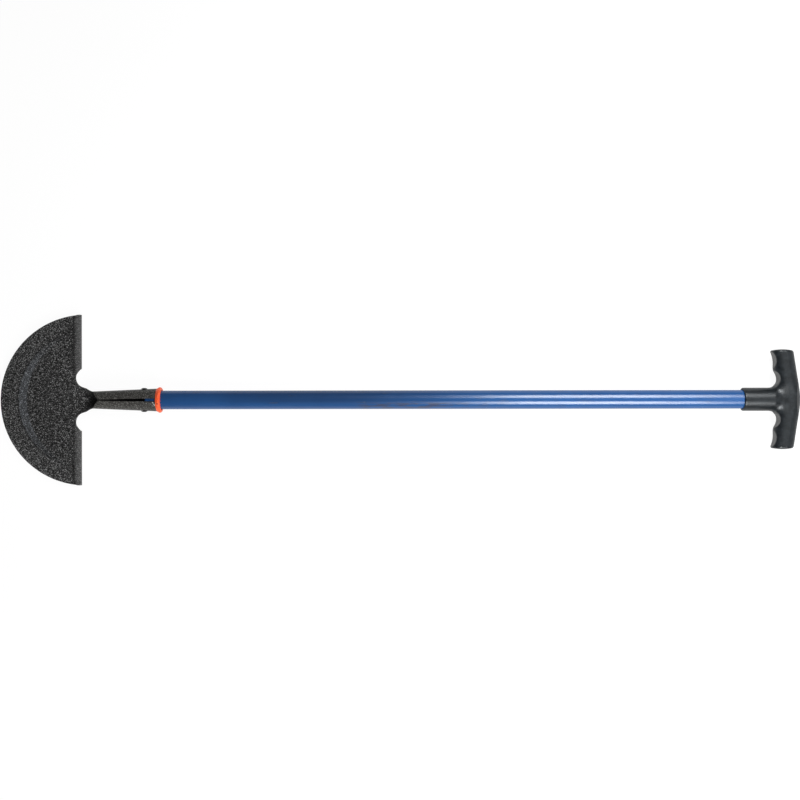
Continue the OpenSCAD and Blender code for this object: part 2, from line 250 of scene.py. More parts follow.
class Finish:
    """The material of one kind of surface, built up from nodes."""

    def __init__(self, name):
        self.material = bpy.data.materials.new(name)
        self.material.use_nodes = True
        self.tree = self.material.node_tree
        self.tree.nodes.clear()
        self.place = self.add("TexCoord", output="Object")

    def add(self, kind, settings=None, inputs=None, output=0):
        """A new node with its settings, then its inputs. Gives back one of its outputs."""
        node = self.tree.nodes.new("ShaderNode" + kind)
        for key, value in (settings or {}).items():
            setattr(node, key, value)
        for key, value in (inputs or {}).items():
            if isinstance(value, Wire):
                self.tree.links.new(value.socket, node.inputs[key])
            else:
                node.inputs[key].default_value = value
        return Wire(self, node.outputs[output]) if node.outputs else None

    def axis(self, letter):
        """One coordinate of the surface, in metres."""
        return self.add("SeparateXYZ", {}, {0: self.place}, letter)

    def along(self):
        """Millimetres along the tool from the blade's tip."""
        return (self.axis("X") - TIP) * (1 / MM)

    def across(self):
        """Millimetres off the tool's middle line, above zero on the far side."""
        return self.axis("Y") * (1 / MM)

    def unsigned(self, value):
        """The value without its sign."""
        return self.add("Math", {"operation": "ABSOLUTE"}, {0: value})

    def distance(self, place, point):
        """How far a place on the surface lies from a point."""
        return self.add("VectorMath", {"operation": "DISTANCE"}, {0: place, 1: point}, "Value")

    def noise(self, size, detail=2, place=None):
        """Noise whose lumps are about size millimetres across."""
        inputs = {"Vector": place or self.place, "Scale": 1 / (size * MM), "Detail": detail}
        return self.add("TexNoise", {}, inputs)

    def cells(self, size):
        """Distance from the middles of cells about size millimetres across."""
        inputs = {"Vector": self.place, "Scale": 1 / (size * MM)}
        return self.add("TexVoronoi", {"feature": "F1"}, inputs, "Distance")

    def fade(self, value, low, high, out_low=0.0, out_high=1.0):
        """A smooth change from out_low to out_high as value goes from low to high."""
        inputs = {0: value, 1: low, 2: high, 3: out_low, 4: out_high}
        return self.add("MapRange", {"interpolation_type": "SMOOTHSTEP"}, inputs)

    def mix(self, share, first, second):
        """A colour between first and second, which is second where share is 1."""
        inputs = {0: share, 6: first, 7: second}
        return self.add("Mix", {"data_type": "RGBA"}, inputs, 2)

    def bump(self, height, depth):
        """A surface normal from heights of 0 to 1, for a relief of depth millimetres."""
        return self.add("Bump", {}, {"Height": height, "Distance": depth * MM})

    def stroke(self, x, y, start, end, half_width):
        """1 along a straight stroke from start to end on the plan, fading out past half_width."""
        run = math.dist(start, end)
        cos, sin = (end[0] - start[0]) / run, (end[1] - start[1]) / run
        x, y = x - start[0], y - start[1]
        off = self.unsigned(y * cos - x * sin)
        on = self.unsigned(x * cos + y * sin - run / 2)
        return self.fade(off, half_width, half_width / 3) * self.fade(on, run / 2, run / 3)

    def grazing(self, low, high):
        """0 where the surface is seen square on, 1 where it turns away."""
        facing = self.add("LayerWeight", {}, {"Blend": 0.5}, "Facing")
        return self.fade(facing, low, high)

    def surface(self, dull=None, **inputs):
        """Closes the material with a Principled shader, its gloss taken off where dull is 1."""
        named = {}
        for key, value in inputs.items():
            named[key.replace("_", " ").title().replace("Ior", "IOR")] = value
        shader = self.add("BsdfPrincipled", {}, named)
        if dull:
            matt = self.add("BsdfPrincipled", {}, {**named, "Specular IOR Level": 0.0})
            shader = self.add("MixShader", {}, {0: dull, 1: shader, 2: matt})
        self.add("OutputMaterial", {}, {"Surface": shader})
        return self.material


def hammer_black():
    """Black hammer enamel: a dimpled skin, pale flecks, smoother where worked, painted light and
    shade.
    """
    finish = Finish("hammer_black")
    along = finish.along()
    across = finish.across()
    aside = finish.unsigned(across)
    upper = finish.add("Attribute", {"attribute_name": "sheet_top"}, {}, "Fac")
    plan = finish.add("CombineXYZ", {}, {0: along, 1: aside})
    radius = finish.distance(plan, (BLADE_R, 0, 0))
    past_step = radius - STEP_R
    slope_end = STEP_R - STEP_W * (BEND_X - along) * (1 / (BEND_X - BLADE_R + STEP_R - STEP_W))
    painted_light_band = finish.fade(radius - slope_end, -1, 1.5) * finish.fade(past_step, 0.6, -0.8)
    crease_painted_shade = finish.fade(past_step, -0.6, 0.8) * finish.fade(past_step, 2.2, 1)
    blade = finish.fade(along, BEND_X - 8, BEND_X - 16)
    beyond_notch = finish.fade(aside, NOTCH_Y - 4, NOTCH_Y + 4)
    tread = finish.fade(along, BEND_X - 2, BEND_X + 2) * beyond_notch
    fold_painted_shade = finish.fade(along, BEND_X - 5, BEND_X - 1.5) * (1 - tread) * beyond_notch
    trough_painted_shade = finish.fade(along, NECK_X + 2, SOCKET_X - 1) * upper
    wing = finish.fade(along, SOCKET_X - 7, SOCKET_X + 1) * (1 - upper)
    fine = finish.noise(1.05, 1)
    coarse = finish.noise(2.8, 2)
    fleck = finish.fade(fine * 0.8 + coarse * 0.2, 0.47, 0.74)
    # Pale specks painted on as glints of light off the hammered dimples
    painted_glints = finish.fade(finish.cells(2.4), 0.28, 0.12)
    colour = finish.mix(fleck, (0.006, 0.006, 0.006, 1), (0.234, 0.234, 0.233, 1))
    # Past the step the flecks are painted paler, as painted light on a rim that lies farther from the
    # lamps
    outer = finish.mix(fleck, (0.007, 0.007, 0.007, 1), (0.312, 0.312, 0.312, 1))
    colour = finish.mix(finish.fade(past_step, 0, 5) * blade, colour, outer)
    colour = finish.mix(painted_glints * 0.8, colour, (0.42, 0.42, 0.42, 1))
    # Paler, bluish paint on the step's slope as painted light
    pressed = finish.mix(fleck, (0.042, 0.0445, 0.048, 1), (0.275, 0.292, 0.318, 1))
    # The treads are painted paler, as painted light on folds that face the lamps
    folded = finish.mix(fleck, (0.046, 0.046, 0.046, 1), (0.235, 0.235, 0.234, 1))
    # The inside of the neck and socket is painted darker, as shade in the hollow between the wings
    rolled = finish.mix(fleck, (0.011, 0.011, 0.011, 1), (0.055, 0.055, 0.055, 1))
    drawn = finish.mix(fleck, (0.030, 0.029, 0.0268, 1), (0.190, 0.186, 0.175, 1))
    # The step's slope is painted paler and bluish as painted light, fading out towards its ends
    faint = finish.fade(aside, 32, 76, 0.8, 0.15)
    colour = finish.mix(painted_light_band * blade * faint, colour, pressed)
    # Painted shade in a line at the foot of the step
    colour = finish.mix(crease_painted_shade * blade * 0.45, colour, (0.008, 0.008, 0.009, 1))
    # Painted shade in a line just before the tread's fold
    colour = finish.mix(fold_painted_shade * 0.65, colour, (0.006, 0.006, 0.006, 1))
    # Paler paint on the treads as painted light
    colour = finish.mix(tread, colour, folded)
    # Painted shade inside the neck and socket
    colour = finish.mix(trough_painted_shade, colour, rolled)
    colour = finish.mix(wing, colour, drawn)
    # A pale stroke painted at the lower wing's mouth corner as a glint of light on its cut edge
    painted_mouth_glint = finish.stroke(along, across, *MOUTH_GLINT, 0.6) * (1 - upper)
    colour = finish.mix(painted_mouth_glint * finish.fade(fine, 0.3, 0.5), colour, (0.50, 0.50, 0.49, 1))
    return finish.surface(
        base_color=colour,
        roughness=finish.fade(coarse, 0.3, 0.7, 0.40, 0.56) - 0.15 * painted_mouth_glint,
        specular_ior_level=0.15,
        normal=finish.bump(coarse * 0.6 + fine * 0.4, 0.3 - 0.2 * tread),
    )


def rivet_black():
    """Black enamel on the rivets' domes, thin and a little glossy."""
    finish = Finish("rivet_black")
    skin = finish.noise(0.8, 2)
    thin = finish.fade(skin, 0.4, 0.7)
    return finish.surface(
        base_color=finish.mix(thin, (0.005, 0.005, 0.005, 1), (0.018, 0.018, 0.019, 1)),
        roughness=finish.fade(skin, 0.3, 0.7, 0.30, 0.44),
        specular_ior_level=0.14,
        normal=finish.bump(skin, 0.04),
    )


def blue_enamel():
    """Gloss blue enamel on drawn tube: orange peel, draw lines, scuffs, a stretch painted darker,
    partly as shade and partly as dulling by hands, and soil on the near side of it.
    """
    finish = Finish("blue_enamel")
    along = finish.along()
    across = finish.across()
    held_and_shade = finish.fade(along, *HELD_SHADE_START) * finish.fade(along, *HELD_SHADE_END)
    # The stretch is painted darker on top than on the near flank, as painted shade with some dulling
    # by hands
    held_and_shade = held_and_shade * finish.fade(across, -7, -1, 0.25, 1)
    soiled = finish.fade(along, *SOIL_START) * finish.fade(along, *SOIL_END)
    soiled = soiled * finish.fade(across, -2.5, -5)
    drawn = finish.add("Mapping", {}, {"Vector": finish.place, "Scale": (0.02, 1.0, 1.0)})
    handled = finish.add("Mapping", {}, {"Vector": finish.place, "Scale": (0.22, 1.0, 1.0)})
    lines = finish.noise(0.7, 2, drawn)
    peel = finish.noise(1.8, 1)
    clouds = finish.noise(60, 2)
    scuff = finish.fade(finish.noise(5, 4, handled), 0.60, 0.74)
    grime = soiled * finish.fade(finish.noise(3.4, 3, handled), 0.44, 0.6)
    colour = finish.mix(
        finish.fade(clouds, 0.35, 0.65), (0.0098, 0.051, 0.158, 1), (0.0118, 0.058, 0.175, 1)
    )
    # Darker navy painted over the stretch, as shade and as dulling by hands
    colour = finish.mix(held_and_shade * 0.55, colour, (0.006, 0.016, 0.045, 1))
    colour = finish.mix(grime * 0.6, colour, (0.036, 0.033, 0.040, 1))
    return finish.surface(
        dull=0.55 * finish.grazing(0.5, 0.8),
        base_color=finish.mix(scuff * (0.25 + 0.3 * held_and_shade), colour, (0.016, 0.022, 0.036, 1)),
        roughness=finish.fade(lines, 0.3, 0.7, 0.19, 0.26) + 0.05 * scuff,
        specular_ior_level=0.40,
        normal=finish.bump(lines * 0.5 + peel * 0.5, 0.0018),
    )


def orange_plastic():
    """Orange moulded plastic with the small mark of its gate on top."""
    finish = Finish("orange_plastic")
    skin = finish.noise(0.6, 2)
    cloud = finish.noise(7, 2)
    colour = finish.mix(
        finish.fade(cloud, 0.35, 0.65), (0.84, 0.100, 0.028, 1), (0.92, 0.118, 0.036, 1)
    )
    gate_x = TIP + (COLLAR_X - COLLAR_W / 2) * MM
    gate_at = (gate_x, -0.3 * COLLAR_R * MM, AXIS + 0.93 * COLLAR_R * MM)
    gate = finish.fade(finish.distance(finish.place, gate_at) * (1 / MM), 1.3, 0.7)
    return finish.surface(
        base_color=finish.mix(gate * 0.75, colour, (0.10, 0.012, 0.006, 1)),
        roughness=finish.fade(skin, 0.3, 0.7, 0.34, 0.46),
        specular_ior_level=0.25,
        normal=finish.bump(skin, 0.02),
    )


def black_plastic():
    """Black moulded plastic, cloudy and finely grained, with a painted sheen on the walls of the
    finger scallops.
    """
    finish = Finish("black_plastic")
    along = finish.along()
    plan = finish.add("CombineXYZ", {}, {0: along, 1: finish.unsigned(finish.across())})
    grain = finish.noise(0.55, 2)
    pits = finish.noise(1.6, 2)
    cloud = finish.noise(5, 3)
    colour = finish.mix(
        finish.fade(cloud * 0.6 + pits * 0.4, 0.40, 0.66),
        (0.0024, 0.0032, 0.0040, 1),
        (0.0070, 0.0088, 0.0106, 1),
    )
    # The scallop walls are painted paler, as a sheen of light on them
    for middle, radius, depth in (INNER_SCALLOP, OUTER_SCALLOP):
        centre = (finger_x(middle) + depth - radius, middle, 0)
        reach = finish.distance(plan, centre)
        scallop_sheen = finish.fade(reach, radius + 0.6, radius + 0.1) * finish.fade(pits, 0.2, 0.6, 0.5, 1)
        on_bar = finish.fade(along, centre[0] + 0.4 * radius, centre[0] + 0.6 * radius)
        colour = finish.mix(scallop_sheen * on_bar, colour, (0.050, 0.050, 0.049, 1))
    return finish.surface(
        dull=0.5 * finish.grazing(0.6, 0.85),
        base_color=colour,
        roughness=finish.fade(grain, 0.3, 0.7, 0.25, 0.37) + 0.06 * cloud,
        specular_ior_level=0.30,
        specular_tint=(0.94, 0.98, 1.0, 1),
        normal=finish.bump(grain * 0.5 + pits * 0.5, 0.05),
    )


def bare_steel(name, colour, dull):
    """Small steel piece with turning marks and a trace of dullness."""
    finish = Finish(name)
    marks = finish.noise(0.3, 3)
    cloud = finish.noise(1.6, 2)
    dark = tuple(0.6 * c for c in colour[:3]) + (1,)
    return finish.surface(
        base_color=finish.mix(finish.fade(cloud, 0.35, 0.7), colour, dark),
        metallic=1.0,
        roughness=finish.fade(marks, 0.3, 0.7, dull - 0.08, dull + 0.08),
        normal=finish.bump(marks, 0.01),
    )


# Head: a flat blank is cut out, then pressed, folded and rolled


def socket_mid(u):
    """Radius of the middle of the socket's wall."""
    return ROLL_R + (u - SOCKET_X) * SOCKET_TAPER


def blade_half_width(x):
    """Half the width of the half moon, at a place along the tool."""
    return np.sqrt(BLADE_R**2 - (BLADE_R - x) ** 2)


def tread_plan(run):
    """How far along the tool a point lies after run millimetres of a tread's fold."""
    return BEND_X + BEND_R * np.sin(np.minimum(run / BEND_R, math.pi / 2))


def tread_unfolded(x):
    """The length of fold that reaches a place along the tool."""
    return BEND_R * np.arcsin((x - BEND_X) / BEND_R)


def wing_edge(u, y):
    """Position across the blank of a wing's edge that ends up y off the centre line."""
    r = socket_mid(u)
    return r * (math.pi - np.arcsin(np.minimum(y / r, 1)))


def half_outline():
    """The blank's edge from the tip of the blade to the middle of the socket's mouth."""
    lean = np.array([math.cos(NOTCH_FLARE), math.sin(NOTCH_FLARE)])
    start = np.array([NOTCH_X - NOTCH_R * lean[1], NOTCH_Y + NOTCH_R * lean[0]])
    back_y = start[1] + (BEND_X + BEND_R - start[0]) * lean[1] / lean[0]
    swing = spread(0, math.acos(1 - BEND_X / BLADE_R), RIM_PITCH / BLADE_R)
    rim = np.stack([BLADE_R * (1 - np.cos(swing)), BLADE_R * np.sin(swing)], 1)
    run = spread(0, TREAD_RUN, RIM_PITCH)[1:]
    ear = TREAD_EAR * np.minimum(run / 2, 1)
    outer_end = np.stack([BEND_X + run, blade_half_width(tread_plan(run)) + ear], 1)
    across = spread(outer_end[-1, 1], back_y, RIM_PITCH)[1:]
    back = np.stack([np.full_like(across, BEND_X + TREAD_RUN), across], 1)
    run = spread(TREAD_RUN, tread_unfolded(start[0]), RIM_PITCH / 2)[1:]
    inner_y = start[1] + (tread_plan(run) - start[0]) * lean[1] / lean[0]
    inner_end = np.stack([BEND_X + run, inner_y], 1)
    turn = spread(math.pi / 2 + NOTCH_FLARE, 1.5 * math.pi, RIM_PITCH / NOTCH_R)[1:]
    notch = np.stack([NOTCH_X + NOTCH_R * np.cos(turn), NOTCH_Y + NOTCH_R * np.sin(turn)], 1)
    folded = notch[:, 1] > NOTCH_Y
    notch[folded, 0] = BEND_X + tread_unfolded(notch[folded, 0])
    along = spread(NOTCH_X, SOCKET_X, RIM_PITCH)[1:]
    neck = np.stack([along, np.full_like(along, NECK_W)], 1)
    rise = spread(math.pi / 2, math.pi - math.asin(SEAM_NECK / 2 / ROLL_R), RIM_PITCH / ROLL_R)
    lead = np.full_like(rise, VEE_X)
    # The socket's radius changes along the wing's edge, so the edge is found in a few goes
    for _ in range(4):
        lead = VEE_X - socket_mid(lead) * np.sin(rise) / math.tan(WING_ANGLE)
    wing = np.stack([lead, socket_mid(lead) * rise], 1)
    clip_x = MOUTH_X - WING_CLIP
    along = np.concatenate(
        [spread(lead[-1], clip_x, RIM_PITCH)[1:], spread(clip_x, MOUTH_X, WING_CLIP / 4)[1:]]
    )
    gap = SEAM_NECK + (SEAM_MOUTH - SEAM_NECK) * (along - lead[-1]) / (MOUTH_X - lead[-1])
    clip = np.maximum(along - clip_x, 0) * (SEAM_MOUTH / 2 + WING_CLIP) / WING_CLIP
    seam = np.stack([along, wing_edge(along, np.maximum(gap / 2, clip))], 1)
    across = spread(seam[-1, 1], 0, RIM_PITCH)[1:]
    mouth = np.stack([np.full_like(across, MOUTH_X), across], 1)
    return np.concatenate([rim, outer_end, back, inner_end, notch, neck, wing, seam, mouth])


def inset(outline, depth):
    """A closed clockwise outline moved inwards."""
    run = np.roll(outline, -1, 0) - np.roll(outline, 1, 0)
    run /= np.linalg.norm(run, axis=1, keepdims=True)
    return outline + depth * np.stack([run[:, 1], -run[:, 0]], 1)


def clear_inside(points, outline, room):
    """Those points that lie inside an outline and at least room from its corners."""
    kept = []
    batches = 40
    ends = np.roll(outline, -1, 0)
    for part in np.array_split(points, batches):
        x, y = part[:, :1], part[:, 1:]
        crosses = (outline[:, 1] > y) != (ends[:, 1] > y)
        slope = (ends[:, 0] - outline[:, 0]) / np.where(crosses, ends[:, 1] - outline[:, 1], 1)
        inside = (crosses & (x < outline[:, 0] + (y - outline[:, 1]) * slope)).sum(1) % 2 == 1
        near = np.min((x - outline[:, 0]) ** 2 + (y - outline[:, 1]) ** 2, axis=1)
        kept.append(part[inside & (near > room**2)])
    return np.concatenate(kept)


def blank_filling():
    """Points inside the blank: rings on the blade, rows on the treads, neck and socket."""
    points = []
    bevel = BLADE_R - spread(0.6 * BEVEL_W, BEVEL_W, 0.4 * BEVEL_W)
    radii = np.concatenate([bevel, np.arange(BLADE_R - 1.4 * BEVEL_W, 2, -BLANK_PITCH)])
    for i, r in enumerate(radii):
        turn = np.arange(-math.pi, math.pi, BLANK_PITCH / r) + (i % 2) * BLANK_PITCH / r / 2
        points.append(np.stack([BLADE_R - r * np.cos(turn), r * np.sin(turn)], 1))
    rings = np.concatenate(points)
    rings = rings[rings[:, 0] < BEND_X - BLANK_PITCH / 2]
    rows = []
    for i, u in enumerate(spread(BEND_X, MOUTH_X, RIM_PITCH)):
        v = np.arange(-BLADE_R, BLADE_R, RIM_PITCH) + (i % 2) * RIM_PITCH / 2
        rows.append(np.stack([np.full_like(v, u), v], 1))
    return np.concatenate([rings] + rows)


def step_dip(u, v):
    """How deep the pressed step has pushed the blade down."""
    slope = (STEP_R - np.hypot(u - BLADE_R, v)) * STEP_DEPTH / STEP_W
    floor = (BEND_X - u) * STEP_DEPTH / (BEND_X - BLADE_R + STEP_R - STEP_W)
    blend = np.clip(0.5 + 0.5 * (floor - slope) / STEP_ROUND, 0, 1)
    dip = floor + (slope - floor) * blend - STEP_ROUND * blend * (1 - blend)
    rim = np.maximum(dip + STEP_ROUND / 2, 0) ** 2 / (2 * STEP_ROUND)
    return np.where(dip > STEP_ROUND / 2, dip, rim)


def formed(u, v, fold):
    """Where points of the blank's middle surface lie after pressing. fold marks the treads."""
    mid = SHEET / 2 - NECK_R
    x, y, z = u.copy(), v.copy(), np.full_like(u, mid)
    blade = u < BEND_X
    z[blade] -= step_dip(u[blade], v[blade])
    run = u[fold] - BEND_X
    x[fold] = tread_plan(run)
    bent = np.minimum(run / BEND_R, math.pi / 2)
    z[fold] -= BEND_R * (1 - np.cos(bent)) + np.maximum(run - BEND_R * math.pi / 2, 0)
    rolling = (u > NECK_X) & (u < SOCKET_X) & ~fold
    share = (u[rolling] - NECK_X) / NECK_L
    bend = np.maximum((1 - (1 - share**1.5) ** 2) / ROLL_R, 1e-7)
    y[rolling] = np.sin(bend * v[rolling]) / bend
    z[rolling] += (1 - np.cos(bend * v[rolling])) / bend
    rolled = (u >= SOCKET_X) & ~fold
    r = socket_mid(u[rolled])
    y[rolled] = r * np.sin(v[rolled] / r)
    z[rolled] = -r * np.cos(v[rolled] / r)
    return np.stack([x, y, z], 1)


def cut_blank():
    """The flat blank: its points, its triangles, the points along its edge in order, and how far in
    from the edge each point's loop lies.
    """
    half = half_outline()
    outline = np.concatenate([half, (half[1:-1] * (1, -1))[::-1]])
    loops = [inset(outline, depth) for depth in EDGE_LOOPS]
    filling = clear_inside(blank_filling(), outline, EDGE_LOOPS[-1] + 0.55 * RIM_PITCH)
    points = np.concatenate(loops + [filling])
    n = len(outline)
    cuts = [(k * n + i, k * n + (i + 1) % n) for k in range(len(loops)) for i in range(n)]
    keep_inside = 1
    tolerance = 1e-5
    verts, _, tris, origin, _, _ = delaunay_2d_cdt(
        [Vector(p) for p in points], cuts, [], keep_inside, tolerance
    )
    flat = np.array(verts)
    tris = np.array(tris)
    a, b, c = (flat[tris[:, k]] for k in range(3))
    area = (b - a)[:, 0] * (c - a)[:, 1] - (b - a)[:, 1] * (c - a)[:, 0]
    tris[area < 0] = tris[area < 0][:, ::-1]
    source = np.array([o[0] if o else -1 for o in origin])
    place = {int(s): i for i, s in enumerate(source) if 0 <= s < n}
    edge = [place[i] for i in range(n)]
    on_loop = (source >= 0) & (source < len(loops) * n)
    loop = np.where(on_loop, source // n, len(loops) - 1)
    return flat, tris, edge, np.array(EDGE_LOOPS)[loop]


def head_pressing(material):
    """The sheet, formed on its middle surface and then given its thickness, bevel and eased edges."""
    flat, tris, edge, depth = cut_blank()
    u, v = flat[:, 0], flat[:, 1]
    fold = (u > BEND_X) & (np.abs(v) > NOTCH_Y) & (u < BEND_X + TREAD_RUN + 1)
    nudge = 0.01
    middle = formed(u, v, fold)
    along = formed(u + nudge, v, fold) - formed(u - nudge, v, fold)
    across = formed(u, v + nudge, fold) - formed(u, v - nudge, fold)
    up = np.cross(along, across)
    up /= np.linalg.norm(up, axis=1, keepdims=True)
    short = np.maximum(1 - depth / EDGE_ROUND, 0)
    eased = EDGE_ROUND * (1 - np.sqrt(1 - short**2))
    to_rim = BLADE_R - np.hypot(u - BLADE_R, v)
    ground = np.where(u < BEND_X, (SHEET - EDGE_T) * np.clip(1 - to_rim / BEVEL_W, 0, 1), 0)
    eased = eased * (1 - ground / SHEET)
    top = middle + up * (SHEET / 2 - eased)[:, None]
    under = middle - up * (SHEET / 2 - eased - ground)[:, None]
    count = len(flat)
    faces = tris.tolist() + (tris[:, ::-1] + count).tolist()
    for i, j in zip(edge, edge[1:] + edge[:1]):
        faces.append((i, j, j + count, i + count))
    piece = make_piece(
        "head_pressing", np.concatenate([top, under]), faces, "edger_head", material
    )
    side = piece.data.attributes.new("sheet_top", "FLOAT", "POINT")
    side.data.foreach_set("value", np.repeat([1.0, 0.0], count))


# Tube, collar and other turned pieces


def turned(profile, steps, axis=0, centre=(0, 0, 0)):
    """Points and faces of a closed profile of (along, radius) points turned round a line."""
    profile = np.asarray(profile, float)
    turn = np.arange(steps) * 2 * math.pi / steps
    points = np.zeros((len(profile), steps, 3))
    points[:, :, axis] = profile[:, :1]
    points[:, :, (axis + 1) % 3] = profile[:, 1:] * np.cos(turn)
    points[:, :, (axis + 2) % 3] = profile[:, 1:] * np.sin(turn)
    faces = []
    for i, j in itertools.product(range(len(profile)), range(steps)):
        k, m = (i + 1) % len(profile), (j + 1) % steps
        faces.append((i * steps + j, i * steps + m, k * steps + m, k * steps + j))
    return points.reshape(-1, 3) + centre, faces


def arc(centre, radius, start, end, count):
    """Points of an arc of a profile, from one angle to another, in degrees."""
    turn = np.radians(np.linspace(start, end, count))
    return [(centre[0] + radius * math.cos(t), centre[1] + radius * math.sin(t)) for t in turn]


def tube_outer(x):
    """Outside radius of the tube, which is squeezed in at its lower end by the socket."""
    low_r = min(TUBE_R, socket_mid(TUBE_LOW_X) - SHEET / 2 - TUBE_FIT)
    wedge_x = MOUTH_X - (MOUTH_R - SHEET - TUBE_FIT - TUBE_R) / SOCKET_TAPER
    share = np.clip((x - TUBE_LOW_X) / max(wedge_x - TUBE_LOW_X, 0.1), 0, 1)
    return low_r + (TUBE_R - low_r) * share


def slot_half_width(x):
    """Half the width of the relief slots at a place along the tube."""
    to_round = np.clip(x - (SLOT_X - SLOT_W / 2), 0, SLOT_W / 2)
    return np.where(x < SLOT_X, np.sqrt(SLOT_W**2 / 4 - to_round**2), 0)


def blue_tube(material):
    """Both halves of the tube as bent grids that part round the slots and meet past them."""
    round_end = SLOT_X - SLOT_W / 2 * (1 - np.sin(np.linspace(0, math.pi / 2, 12)))
    rows = np.concatenate(
        [
            spread(TUBE_LOW_X, round_end[0], 0.8)[:-1],
            round_end,
            SLOT_X + np.array([0.15, 0.4, 0.9, 1.8, 3.5]),
            spread(MOUTH_X - 6, TUBE_HIGH_X, 12),
        ]
    )
    columns = TUBE_COLUMNS
    share = np.linspace(0, 1, columns + 1)
    outer = tube_outer(rows)
    part = np.arcsin(slot_half_width(rows) / outer)
    turn = part[:, None] + (math.pi - 2 * part[:, None]) * share
    grids = []
    for radius, side in itertools.product((outer, outer - TUBE_WALL), (1, -1)):
        y = side * radius[:, None] * np.sin(turn)
        z = radius[:, None] * np.cos(turn)
        grids.append(np.stack([np.repeat(rows[:, None], columns + 1, 1), y, z], -1))
    points = np.stack(grids).reshape(-1, 3)
    keys = np.round(points, 5)
    _, first, merged = np.unique(keys, axis=0, return_index=True, return_inverse=True)
    merged = merged.reshape(-1)
    size = len(rows) * (columns + 1)
    faces = []
    for i, j in itertools.product(range(len(rows) - 1), range(columns)):
        a = i * (columns + 1) + j
        quad = (a, a + columns + 1, a + columns + 2, a + 1)
        faces.append([merged[q] for q in quad])
        faces.append([merged[q + size] for q in quad[::-1]])
        faces.append([merged[q + 2 * size] for q in quad[::-1]])
        faces.append([merged[q + 3 * size] for q in quad])
    faces += rims(faces, merged, size)
    make_piece("blue_tube", points[first], faces, "shaft_tube", material)


def rims(faces, merged, size):
    """Faces that close the gap between the open edges of a tube's outer and inner walls."""
    used = {}
    for face in faces:
        for a, b in zip(face, face[1:] + face[:1]):
            used[(a, b)] = used.get((a, b), 0) + 1
    inner = {}
    for k in range(2 * size):
        inner[merged[k]] = merged[k + 2 * size]
    return [
        (b, a, inner[a], inner[b]) for a, b in used if (b, a) not in used and a in inner and b in inner
    ]


def orange_ring(material):
    """Collar: a sleeve that caps the socket's mouth, with a fat bead at its upper end."""
    bore = TUBE_R + TUBE_FIT
    sleeve = COLLAR_R - BEAD_R / 2
    bead = (COLLAR_X - BEAD_R - TUBE_FIT, COLLAR_R - BEAD_R)
    ease = COLLAR_EASE
    profile = [(MOUTH_X, bore + ease), (MOUTH_X, sleeve - ease)]
    profile += arc((MOUTH_X + ease, sleeve - ease), ease, 165, 100, 5)
    profile += arc(bead, BEAD_R, 146, -20, 26)
    profile += arc((COLLAR_X - ease, bore + ease + 0.4), ease, 20, -70, 5)
    profile += [(COLLAR_X - 0.6, bore), (MOUTH_X + ease, bore)]
    points, faces = turned(profile, COLLAR_STEPS)
    make_piece("orange_ring", points, faces, "collar_ring", material)


# Grip and screw: solids described by a distance field, blended where they meet


def soft_min(a, b, ease):
    """The lesser of two distances, with the corner between them rounded over ease."""
    h = np.clip(0.5 + 0.5 * (b - a) / ease, 0, 1)
    return b + (a - b) * h - ease * h * (1 - h)


def soft_max(a, b, ease):
    """The greater of two distances, rounded in the same way."""
    return -soft_min(-a, -b, ease)


def moulded(field, low, high, cell):
    """Points and quads of the surface on which a field of distances is zero."""
    axes = [np.arange(a, b + cell, cell) for a, b in zip(low, high)]
    grid = np.stack(np.meshgrid(*axes, indexing="ij"), -1)
    value = field(grid)
    points, index = cell_points(value, grid, cell)
    return settled(field, points, cell / 20), cell_quads(value, index)


def cell_points(value, grid, cell):
    """A point in each cell of the grid that the surface cuts, and the number of each cell's point."""
    size = np.array(value.shape) - 1

    def shifted(array, step):
        return array[tuple(slice(s, s + n) for s, n in zip(step, size))]

    corners = [shifted(value < 0, step) for step in itertools.product((0, 1), repeat=3)]
    crossed = np.any(corners, 0) & ~np.all(corners, 0)
    index = np.full(crossed.shape, -1)
    index[crossed] = np.arange(crossed.sum())
    total = np.zeros(tuple(size) + (3,))
    count = np.zeros(tuple(size))
    for axis, near in itertools.product(range(3), itertools.product((0, 1), repeat=2)):
        start = list(near[:axis]) + [0] + list(near[axis:])
        end = list(start)
        end[axis] = 1
        a, b = shifted(value, start), shifted(value, end)
        cut = (a < 0) != (b < 0)
        share = np.where(cut, a / np.where(cut, a - b, 1), 0)
        at = shifted(grid, start) + share[..., None] * cell * np.eye(3)[axis]
        total += np.where(cut[..., None], at, 0)
        count += cut
    return total[crossed] / count[crossed][:, None], index


def cell_quads(value, index):
    """Faces that join the points of the four cells round each cut edge of the grid."""
    faces = []
    for axis in range(3):
        b, c = (axis + 1) % 3, (axis + 2) % 3
        ends = [slice(1, -1)] * 3
        ends[axis] = slice(0, -1)
        start = value[tuple(ends)]
        ends[axis] = slice(1, None)
        stop = value[tuple(ends)]
        for flip in (False, True):
            cut = (start < 0) & (stop >= 0) if not flip else (start >= 0) & (stop < 0)
            at = np.argwhere(cut)
            at[:, b] += 1
            at[:, c] += 1
            quad = []
            for back_b, back_c in ((1, 1), (0, 1), (0, 0), (1, 0)):
                cell_at = at.copy()
                cell_at[:, b] -= back_b
                cell_at[:, c] -= back_c
                quad.append(index[tuple(cell_at.T)])
            quad = np.stack(quad, 1)
            faces.append(quad[:, ::-1] if flip else quad)
    return np.concatenate(faces).tolist()


def settled(field, points, nudge):
    """Points moved down the field's slope, in a few steps, until they lie on the surface."""
    for _ in range(4):
        slope = np.stack(
            [field(points + nudge * e) - field(points - nudge * e) for e in np.eye(3)], 1
        ) / (2 * nudge)
        steep = np.maximum((slope**2).sum(1), 0.2)
        points = points - (field(points) / steep)[:, None] * slope
    return points


